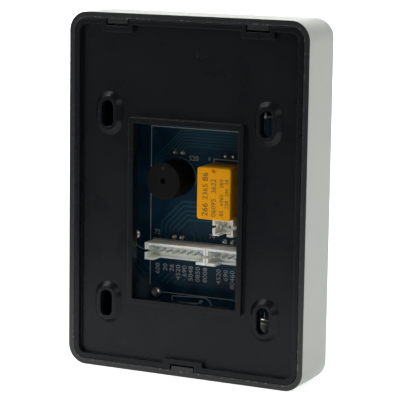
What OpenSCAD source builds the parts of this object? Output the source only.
// Wall keypad for door access and alarm control: a black wall plate with a cable window, and a
// silver housing that hooks over it and carries the keys and the circuit board.
// Frame: +Z is up, the keys face -Y, and the wall is the plane y = 0. The origin is the middle of
// the rear face. A depth is a distance from the wall, so a depth d lies at y = -d.

/* [Housing] */
// Width of the housing
body_w = 85.4; // [85:0.1:92]
// Height of the housing
body_h = 118; // [117:0.5:126]
// Depth of the housing, without the keys
body_d = 21.7; // [21.5:0.1:23]
// Thickness of the side walls
wall = 1.9; // [1.7:0.1:2.1]
// Thickness of the front wall
front_wall = 2.2; // [2:0.1:2.4]
// Radius of the four corners, seen from the front
corner_r = 6.35; // [5:0.05:8]
// Radius of the rounded front edge
front_round = 2.8; // [2:0.1:3.2]

/* [Wall plate] */
// Gap between the plate and the housing wall
plate_gap = 0.2; // [0.15:0.05:0.3]
// Width of the plate's raised rim
rim_w = 1.7; // [1.4:0.1:2]
// Depth of the plate's floor behind its rim
plate_recess = 1.6; // [1.2:0.1:1.8]
// Thickness of the plate's floor
plate_t = 1.6; // [1.4:0.1:1.8]
// Width of the cable window
window_w = 37.8; // [34:0.1:38]
// Height of the window's upper edge
window_top = 23.5; // [22:0.1:25]
// Height of the window's lower edge
window_bottom = -34.8; // [-36:0.1:-33]
// Width of the lip round the window
lip_w = 1.8; // [1.4:0.1:2]
// Width of each screw slot
slot_w = 4.4; // [4:0.1:4.6]
// Length of each screw slot
slot_l = 8.8; // [8:0.1:9.4]
// Distance between the left and right slots
slot_spacing = 57; // [56:0.5:60]
// Height of the upper slots
slot_top = 26.1; // [25:0.1:28]
// Height of the lower slots
slot_bottom = -37.2; // [-38:0.1:-36]
// Width of the oval pad round each slot
pad_w = 9.8; // [9.2:0.1:10]

/* [Catches] */
// Distance between the two hooks at the top
hook_spacing = 50; // [44:1:56]
// Width of each hook
hook_w = 7.5; // [6:0.1:9]
// Width of the catch at the bottom
catch_w = 8; // [6:0.1:10]
// How far the hooks and the catch reach in from the housing wall
hook_reach = 1.6; // [1.4:0.1:1.7]

/* [Keys] */
// Width of a key cap
key_w = 13.4; // [12:0.1:13.8]
// Height of a key cap
key_h = 8.8; // [8:0.1:9]
// Distance between the key columns
key_pitch_x = 18.6; // [18.4:0.1:18.8]
// Distance between the key rows
key_pitch_z = 14.2; // [14.1:0.05:14.4]
// Height of the middle of the twelve keys
keys_mid = -1.2; // [-1.4:0.1:-1]
// Height of the bell key
bell_z = -38.5; // [-39.5:0.1:-38]
// How far a key stands out of the front
key_proud = 1.3; // [1:0.1:1.5]
// Clearance round a key cap
key_gap = 0.25; // [0.2:0.05:0.35]

/* [Board] */
// Width of the circuit board
board_w = 66; // [64:1:72]
// Height of the circuit board
board_h = 100; // [98:1:106]
// Thickness of the circuit board
board_t = 1.6; // [1.2:0.1:1.6]
// Depth of the board's rear face
board_depth = 14.5; // [14.2:0.1:14.5]
// Diameter of the buzzer
buzzer_d = 12.4; // [11.6:0.1:13]
// Distance between the pins of a wiring header
pin_pitch = 2.5; // [2.5, 2.54]

/* [Hidden] */
$fn = 64;
eps = 0.5;                              // how far a cut reaches past a face

// housing
inner_w = body_w - 2 * wall;
inner_h = body_h - 2 * wall;
inner_r = corner_r - wall;
front_in = body_d - front_wall;         // depth of the front wall's inner face
fascia_t = 1;
fascia_w = 66;
fascia_h = 98;
fascia_r = 3;
fascia_gap = 0.1;
hook_d0 = 0.15;                         // depths between which the hooks and the catch lie
hook_d1 = 1.6;

// wall plate
plate_w = inner_w - 2 * plate_gap;
plate_h = inner_h - 2 * plate_gap;
plate_r = inner_r - plate_gap;
plate_front = plate_recess + plate_t;   // depth of the plate's front face
window_h = window_top - window_bottom;
window_mid = (window_top + window_bottom) / 2;
pocket_gap = 0.35;                      // clearance beside a hook
pocket_below = 0.7;                     // clearance below a hook
pocket_wall = 1.6;
pocket_floor = 2.6;                     // depth of the floor that the hook lies behind
pocket_floor_t = 1.2;
catch_gap = 0.4;                        // clearance round the catch
edge_wall = 2.8;                        // wall beside the notch that the catch lies in
pad_slope = 1.5;                        // width of the slope round a pad, which rises to the wall

// status lights and their lens
light_z = 38;
light_pitch = 9.3;
light_d = 3;
lens_w = 28;
lens_h = 5;

// board, keypad mat and keys
board_front = board_depth + board_t;
mat_w = 58;
mat_top = 28;
mat_bottom = -45;
mat_web = 0.6;
flange_t = 0.8;
flange_reach = 0.4;
key_back = front_in - 0.2 - flange_t;   // depth of a key's rear face, where the mat carries it
key_r = 1.6;
key_round = 0.5;
boss_w = 9;
boss_h = 5;
contact_d = 5;
contact_t = 0.05;
// where the backlights stand, between the columns and between rows 1 and 2 and rows 3 and 4
backlights = [for (sx = [-1, 1], sz = [-1, 1]) [sx * key_pitch_x / 2, keys_mid + sz * key_pitch_z]];

// screws that hold the board
screws = [[24.4, 33], [-24.4, 33], [25.1, -15.9], [-25.1, -15.9], [17.2, -35], [-17.2, -35]];
screw_d = 1.6;
screw_head_d = 3.4;
screw_head_t = 1.2;
boss_d = 3.4;

// large parts on the rear of the board: [x, z] of the middle
buzzer_at = [9.4, 4.7];
buzzer_top = 3;
buzzer_foot = 0.9;
relay_at = [-9.2, 2];
relay_size = [12, 17];
relay_top = 2.7;
header_top = 7.5;
header_z = 5.75;
header_base = 1.6;
header_wall = 0.8;
pin_w = 0.64;
pin_top = 8.6;
header_8_at = [7, -19.85];
header_5_at = [-11.85, -19.85];
header_2_at = [-10.4, -9.6];
can_d = 6.3;
can_l = 11;
can_at = [-25.5, -38.4];                // middle of the end that the leads leave
mcu_at = [2, 30.5];
memory_at = [-17, 40];
crystal_at = [19, 40];
regulator_at = [-27, -24];
uprights = [[-27, 44], [28, 45.8]];
// small parts, [x, z, turn about the depth axis]
diode_spots = [[-24.2, 27.5, 0], [-26, 6, 90], [26, 12, 90]];
transistor_spots = [[-25, -4, 0], [-25, -9, 0], [27, 0, 0], [27, -5, 0]];
resistor_spots = concat(
    [for (i = [0:5]) [-8 + 4.4 * i, 46.8, 90]],
    [for (i = [0:3]) [16 + 3 * i, 27, 90]],
    [for (i = [0:3]) [27.5, -26 - 4 * i, 0]]);
chip_cap_spots = concat(
    [for (sx = [-1, 1]) [19 + 3 * sx, 35.3, 90]],
    [for (i = [0:2]) [-13.5, 26 + 3.5 * i, 0]],
    [for (i = [0:2]) [-11 - 4.5 * i, -44, 90]]);
// rear solder joints: the leads of each backlight, and those of parts at the top and bottom
lead_gap = 2.8;
joints_at = concat(
    [for (p = backlights, sx = [-1, 1]) [p[0] + sx * lead_gap / 2, p[1] - 0.1]],
    [for (x = [-1, 0, 1], sx = [-1, 1]) [x * light_pitch + sx * 1.27, light_z]],
    [[0.5, -36.9], [3, -40]]);

// ---- shapes ----

// A flat outline, drawn in x and z, given thickness between two depths
module slab(d0, d1) translate([0, -d0, 0]) rotate([90, 0, 0]) linear_extrude(d1 - d0) children();

// Moves what follows to a place [x, z] on the board
module at(p) translate([p[0], 0, p[1]]) children();

module rounded_rect(w, h, r) {
    square([w - 2 * r, h], center = true);
    square([w, h - 2 * r], center = true);
    for (sx = [-1, 1], sz = [-1, 1])
        translate([sx * (w / 2 - r), sz * (h / 2 - r)]) circle(r);
}

// Half of it is the section of a round-edged disc, all of it that of a round-edged bar
module round_topped(w, d, e) {
    translate([-w / 2 + e, 0]) square([w - 2 * e, d]);
    translate([-w / 2, 0]) square([w, d - e]);
    for (sx = [-1, 1]) translate([sx * (w / 2 - e), d - e]) circle(e);
}

// A block with corners of radius r and a front edge of radius e
module rounded_block(w, h, d0, d1, r, e) {
    translate([0, -d0, 0]) {
        rotate([180, 0, 0]) linear_extrude(h - 2 * r, center = true) round_topped(w, d1 - d0, e);
        rotate([180, 0, 0]) rotate([0, 90, 0])
            linear_extrude(w - 2 * r, center = true) round_topped(h, d1 - d0, e);
        for (sx = [-1, 1], sz = [-1, 1])
            translate([sx * (w / 2 - r), 0, sz * (h / 2 - r)]) rotate([90, 0, 0])
                rotate_extrude() intersection() {
                    round_topped(2 * r, d1 - d0, e);
                    square([r, d1 - d0]);
                }
    }
}

// An upright oval, as the screw slots are
module oval(w, l) {
    square([w, l - w], center = true);
    for (sz = [-1, 1]) translate([0, sz * (l - w) / 2]) circle(w / 2);
}

// ---- wall plate ----

module slots_at() for (sx = [-1, 1], z = [slot_top, slot_bottom])
    translate([sx * slot_spacing / 2, 0, z]) children();

// The raised ring round a slot, with a sloping outer edge
module pad() {
    run = slot_l - slot_w;
    module ring_section() polygon([
        [slot_w / 2, 0], [slot_w / 2, -plate_front], [pad_w / 2, -plate_front],
        [pad_w / 2, -plate_recess], [pad_w / 2 - pad_slope, 0]]);
    for (a = [0, 180]) rotate([0, a, 0]) {
        translate([0, 0, run / 2]) rotate([-90, 0, 0]) rotate([0, 0, 180])
            rotate_extrude(angle = 180) ring_section();
        linear_extrude(run, center = true) ring_section();
    }
}

// The outline of what lies in the middle of an edge: its half width, and the heights that it spans
module edge_notch(half, from, to) translate([-half, from]) square([2 * half, to - from]);

module back_plate() color("#232527") {
    pocket_half = hook_w / 2 + pocket_gap;
    pocket_bottom = inner_h / 2 - hook_reach - pocket_below;
    pocket_wall_bottom = pocket_bottom - pocket_wall - 0.5;
    catch_half = catch_w / 2 + catch_gap;
    catch_top = -inner_h / 2 + hook_reach + catch_gap;
    difference() {
        union() {
            slab(0, plate_front) difference() {
                rounded_rect(plate_w, plate_h, plate_r);
                rounded_rect(plate_w - 2 * rim_w, plate_h - 2 * rim_w, plate_r - rim_w);
            }
            slab(plate_recess, plate_front)
                rounded_rect(plate_w - rim_w, plate_h - rim_w, plate_r - rim_w / 2);
            slab(0, plate_front) translate([0, window_mid])
                rounded_rect(window_w + 2 * lip_w, window_h + 2 * lip_w, 1);
            // walls round the pockets at the top and the notch at the bottom
            for (sx = [-1, 1]) slab(0, pocket_floor + pocket_floor_t)
                translate([sx * hook_spacing / 2, (plate_h / 2 + pocket_wall_bottom) / 2])
                rounded_rect(2 * (pocket_half + pocket_wall), plate_h / 2 - pocket_wall_bottom, 1);
            slab(0, plate_front)
                edge_notch(catch_half + edge_wall, -plate_h / 2, catch_top + pocket_wall);
            slots_at() slab(plate_recess, plate_front) oval(pad_w, pad_w + slot_l - slot_w);
        }
        slab(-eps, plate_front + eps) translate([0, window_mid]) rounded_rect(window_w, window_h, 0.6);
        for (sx = [-1, 1]) slab(-eps, pocket_floor) translate([sx * hook_spacing / 2, 0])
            edge_notch(pocket_half, pocket_bottom, plate_h / 2 + eps);
        slab(-eps, plate_front + eps) edge_notch(catch_half, -plate_h / 2 - eps, catch_top);
        slots_at() slab(-eps, plate_front + eps) oval(slot_w, slot_l);
    }
    slots_at() pad();
}

// ---- housing and fascia ----

module key_at(i) translate([(i % 3 - 1) * key_pitch_x, 0,
    keys_mid + (1.5 - floor(i / 3)) * key_pitch_z]) children();

// Every key's place: twelve in rows of three from the top left, and the bell key
module keys_at() {
    for (i = [0:11]) key_at(i) children();
    at([0, bell_z]) children();
}

module lights_at() for (i = [-1, 0, 1]) at([i * light_pitch, light_z]) children();

module front_openings(d0, d1) {
    keys_at() slab(d0, d1)
        rounded_rect(key_w + 2 * key_gap, key_h + 2 * key_gap, key_r + key_gap);
}

module front_housing() color("#c3c8c3") {
    stop_w = 1.2;                       // ribs that the plate's front face rests against
    difference() {
        rounded_block(body_w, body_h, 0, body_d, corner_r, front_round);
        slab(-eps, front_in) rounded_rect(inner_w, inner_h, inner_r);
        slab(body_d - fascia_t, body_d + eps)
            rounded_rect(fascia_w + 2 * fascia_gap, fascia_h + 2 * fascia_gap, fascia_r + fascia_gap);
        front_openings(front_in - eps, body_d);
        lights_at() slab(front_in - eps, body_d) circle((light_d + 0.4) / 2);
    }
    for (sx = [-1, 1]) translate([sx * hook_spacing / 2, 0, 0]) slab(hook_d0, hook_d1)
        edge_notch(hook_w / 2, inner_h / 2 - hook_reach, inner_h / 2 + wall / 2);
    slab(hook_d0, hook_d1)
        edge_notch(catch_w / 2, -inner_h / 2 - wall / 2, -inner_h / 2 + hook_reach - 0.2);
    for (sx = [-1, 1], z = [-42, 0, 42]) translate([sx * inner_w / 2, 0, z])
        slab(plate_front + 0.1, front_in + front_wall / 2) square([2 * stop_w, stop_w], center = true);
    for (sz = [-1, 1], x = [-14, 14]) translate([x, 0, sz * inner_h / 2])
        slab(plate_front + 0.1, front_in + front_wall / 2) square([stop_w, 2 * stop_w], center = true);
    for (p = screws) at(p) slab(board_front, front_in + front_wall / 4) difference() {
        circle(boss_d / 2);
        circle(screw_d / 2 + 0.05);
    }
}

module fascia_panel() color("#0d0e10") difference() {
    slab(body_d - fascia_t, body_d) rounded_rect(fascia_w, fascia_h, fascia_r);
    front_openings(body_d - fascia_t - eps, body_d + eps);
    at([0, light_z]) slab(body_d - fascia_t - eps, body_d + eps)
        rounded_rect(lens_w, lens_h, lens_h / 2 - 0.01);
}

module led_lens() color("#30343a") at([0, light_z])
    slab(body_d - fascia_t, body_d - 0.05) rounded_rect(lens_w - 0.2, lens_h - 0.2, lens_h / 2 - 0.11);

// A round light with a domed end, standing on the front of the board
module light(top) translate([0, -board_front, 0]) rotate([90, 0, 0]) rotate_extrude() {
    square([light_d / 2, top - board_front - light_d / 2]);
    translate([0, top - board_front - light_d / 2]) intersection() {
        circle(light_d / 2);
        square(light_d / 2);
    }
}

module status_leds() color("#e9efe9") lights_at() light(body_d - fascia_t - 0.3);

module backlight_leds() color("#dfe8ff") for (p = backlights) at(p) light(front_in - 0.4);

// ---- keys ----

// A hard cap whose flange lies behind the front wall
module key() {
    rounded_block(key_w, key_h, key_back + flange_t / 2, body_d + key_proud, key_r, key_round);
    slab(key_back, key_back + flange_t)
        rounded_rect(key_w + 2 * flange_reach, key_h + 2 * flange_reach, key_r + flange_reach);
}

module number_key(i) color("#dcdfdd") key_at(i) key();
module key_1() number_key(0);
module key_2() number_key(1);
module key_3() number_key(2);
module key_4() number_key(3);
module key_5() number_key(4);
module key_6() number_key(5);
module key_7() number_key(6);
module key_8() number_key(7);
module key_9() number_key(8);
module key_star() number_key(9);
module key_0() number_key(10);
module key_hash() number_key(11);
module key_bell() color("#dcdfdd") at([0, bell_z]) key();

// Rubber sheet on the board, with a raised block under each key and a hollow over its contact
module keypad_mat() color("#cfd4d6") {
    difference() {
        slab(board_front, board_front + mat_web) translate([0, (mat_top + mat_bottom) / 2])
            rounded_rect(mat_w, mat_top - mat_bottom, 2);
        keys_at() slab(board_front - eps, board_front + mat_web / 2) circle(contact_d / 2 + 0.3);
        for (p = backlights) at(p) slab(board_front - eps, board_front + mat_web + eps)
            circle(light_d / 2 + 0.3);
        for (p = screws) at(p) slab(board_front - eps, board_front + mat_web + eps)
            circle(boss_d / 2 + 0.3);
    }
    keys_at() slab(board_front + mat_web * 0.75, key_back) rounded_rect(boss_w, boss_h, 1);
}

// ---- board ----

module main_board() color("#0c2b46") difference() {
    slab(board_depth, board_front) rounded_rect(board_w, board_h, 2);
    for (p = screws) at(p) slab(board_depth - eps, board_front + eps) circle(screw_d / 2 + 0.3);
}

module contact_pads() color("#c9a24a") keys_at()
    slab(board_front, board_front + contact_t) circle(contact_d / 2);

// A cone of solder round a lead's cut end, on the rear of the board
module solder_joints() color("#c8ccd0") for (p = joints_at) at(p)
    translate([0, -board_depth, 0]) rotate([-90, 0, 0]) {
        cylinder(h = 0.6, r1 = 0.85, r2 = 0.4);
        cylinder(h = 1.1, r = 0.3);
    }

module board_screws() color("#b9bcc0") for (p = screws) at(p) {
    difference() {
        translate([0, -board_depth, 0]) rotate([-90, 0, 0]) {
            cylinder(h = screw_head_t - 0.4, d = screw_head_d);
            translate([0, 0, screw_head_t - 0.4])
                cylinder(h = 0.4, d1 = screw_head_d, d2 = screw_head_d - 1);
        }
        for (a = [20, 110]) rotate([0, a, 0])
            translate([-1, -board_depth + 0.5, -0.25]) cube([2, screw_head_t, 0.5]);
    }
    slab(board_depth - 0.1, front_in - 0.3) circle(screw_d / 2);
}

// ---- parts on the rear of the board ----

module buzzer() color("#1b1b1c") at(buzzer_at) {
    tall = board_depth - buzzer_foot - buzzer_top;
    translate([0, -board_depth + buzzer_foot, 0]) rotate([-90, 0, 0]) difference() {
        rotate_extrude() intersection() {
            round_topped(buzzer_d, tall, 0.5);
            square([buzzer_d, tall]);
        }
        translate([0, 0, tall - 2]) cylinder(h = 2 + eps, d = 1.8);
    }
    for (sx = [-1, 1]) translate([sx * buzzer_d * 0.32, 0, 0])
        slab(board_depth - buzzer_foot - 0.1, board_depth) circle(0.9);
}

// A sealed box with a small vent at the upper edge of its rear face
module relay() color("#e39a1c") at(relay_at) difference() {
    translate([0, -board_depth, 0]) mirror([0, 1, 0])
        rounded_block(relay_size[0], relay_size[1], 0, board_depth - relay_top, 0.9, 0.4);
    translate([0, 0, relay_size[1] / 2 - 0.9]) slab(relay_top - eps, relay_top + 0.5) circle(0.7);
}

function header_length(n) = pin_pitch * (n - 1) + 4.9;

// An open-topped housing for n pins, with its lower long wall cut down between the ends
module header(n) {
    length = header_length(n);
    tab = min(3.4, length * 0.3);
    difference() {
        slab(header_top, board_depth) square([length, header_z], center = true);
        slab(header_top - eps, board_depth - header_base)
            square([length - 2 * header_wall, header_z - 2 * header_wall], center = true);
        translate([0, 0, -header_z / 2]) slab(header_top - eps, board_depth - header_base - 0.4)
            square([length - 2 * tab, 2.5 * header_wall], center = true);
        for (sx = [-1, 1]) translate([sx * length / 2, 0, 0]) slab(header_top - eps, header_top + 2.6)
            square([3 * header_wall, 1], center = true);
        pins_at(n) slab(header_top, board_depth + eps) square(pin_w + 0.06, center = true);
    }
}

module pins_at(n) for (i = [0:n - 1]) translate([(i - (n - 1) / 2) * pin_pitch, 0, 0]) children();

module header_pins(n) pins_at(n) slab(pin_top, board_depth) square(pin_w, center = true);

module header_8way() color("#e2ddd0") at(header_8_at) header(8);
module header_5way() color("#e2ddd0") at(header_5_at) header(5);
module header_2way() color("#e2ddd0") at(header_2_at) header(2);
module header_8way_pins() color("#cfd2d4") at(header_8_at) header_pins(8);
module header_5way_pins() color("#cfd2d4") at(header_5_at) header_pins(5);
module header_2way_pins() color("#cfd2d4") at(header_2_at) header_pins(2);

// A can lying upright on the board, with a groove near the end whose leads turn down to the board
module filter_capacitor() color("#aeb4b8") at(can_at) {
    lead_run = 1.2;
    axis_depth = board_depth - can_d / 2 - 0.1;
    translate([0, -axis_depth, -can_l]) rotate_extrude() difference() {
        intersection() {
            round_topped(can_d, can_l, 0.4);
            square([can_d, can_l]);
        }
        translate([can_d / 2 + 0.1, can_l - 1.2]) circle(0.5);
    }
    for (sx = [-1, 1]) translate([sx * 1.25, 0, 0]) {
        translate([0, -axis_depth, -0.5]) cylinder(h = lead_run + 0.5, d = 0.6);
        translate([0, 0, lead_run]) slab(axis_depth - 0.3, board_depth) circle(0.3);
    }
}

module upright_capacitors() color("#2a2f3a") for (p = uprights) at(p)
    translate([0, -board_depth, 0]) rotate([-90, 0, 0]) rotate_extrude() intersection() {
        round_topped(5, 7, 0.3);
        square([5, 7]);
    }

// A flat chip package of width w along x with n leads on each long side
module chip(w, h, t, n) {
    slab(board_depth - t - 0.1, board_depth - 0.1) square([w, h], center = true);
    for (i = [0:n - 1], sz = [-1, 1]) translate([(i - (n - 1) / 2) * 1.27, 0, sz * (h / 2 + 0.5)]) {
        slab(board_depth - 0.2, board_depth) square([0.4, 1.2], center = true);
        translate([0, 0, -sz * 0.35]) slab(board_depth - t * 0.6, board_depth)
            square([0.4, 0.5], center = true);
    }
}

module mcu_chip() color("#1d1d1f") at(mcu_at) chip(17.9, 7.5, 2.3, 14);
module memory_chip() color("#1d1d1f") at(memory_at) chip(4.9, 3.9, 1.5, 4);

module crystal() color("#b8bcc0") at(crystal_at) {
    slab(board_depth - 0.5, board_depth) rotate(90) oval(4.6, 11.3);
    slab(board_depth - 3.5, board_depth) rotate(90) oval(3.8, 10.4);
}

module voltage_regulator() color("#242426") at(regulator_at) {
    slab(board_depth - 2.3, board_depth) square([6.5, 6], center = true);
    translate([0, 0, 3.4]) slab(board_depth - 0.5, board_depth) square([5.2, 1.4], center = true);
    for (sx = [-1, 1]) translate([sx * 2.28, 0, -4]) slab(board_depth - 0.5, board_depth)
        square([0.8, 2.4], center = true);
}

// A small cylinder lying on the board with a bent lead at each end
module diodes() color("#1a1a1c") for (s = diode_spots) at(s) rotate([0, s[2], 0]) {
    translate([-2.5, -board_depth + 1.35, 0]) rotate([0, 90, 0]) cylinder(h = 5, d = 2.6);
    for (sx = [-1, 1]) {
        translate([sx * 3, -board_depth + 1.35, 0]) rotate([0, 90, 0])
            cylinder(h = 1.4, d = 0.7, center = true);
        translate([sx * 3.5, 0, 0]) slab(board_depth - 1.5, board_depth) circle(0.35);
    }
}

module transistors() color("#1a1a1c") for (s = transistor_spots) at(s) {
    slab(board_depth - 1.1, board_depth - 0.05) square([2.9, 1.4], center = true);
    for (p = [[-0.95, -1], [0.95, -1], [0, 1]]) at(p)
        slab(board_depth - 0.5, board_depth) square([0.45, 0.9], center = true);
}

module small_chip(s, w, h, t) at(s) rotate([0, s[2], 0])
    slab(board_depth - t, board_depth) square([w, h], center = true);

module chip_resistors() color("#202124") for (s = resistor_spots) small_chip(s, 2, 1.25, 0.5);
module chip_capacitors() color("#a58a63") for (s = chip_cap_spots) small_chip(s, 2, 1.25, 0.8);

back_plate();
front_housing();
fascia_panel();
led_lens();
status_leds();
keypad_mat();
key_1();
key_2();
key_3();
key_4();
key_5();
key_6();
key_7();
key_8();
key_9();
key_star();
key_0();
key_hash();
key_bell();
main_board();
contact_pads();
backlight_leds();
solder_joints();
board_screws();
buzzer();
relay();
header_8way();
header_8way_pins();
header_5way();
header_5way_pins();
header_2way();
header_2way_pins();
filter_capacitor();
upright_capacitors();
mcu_chip();
memory_chip();
crystal();
voltage_regulator();
diodes();
transistors();
chip_resistors();
chip_capacitors();
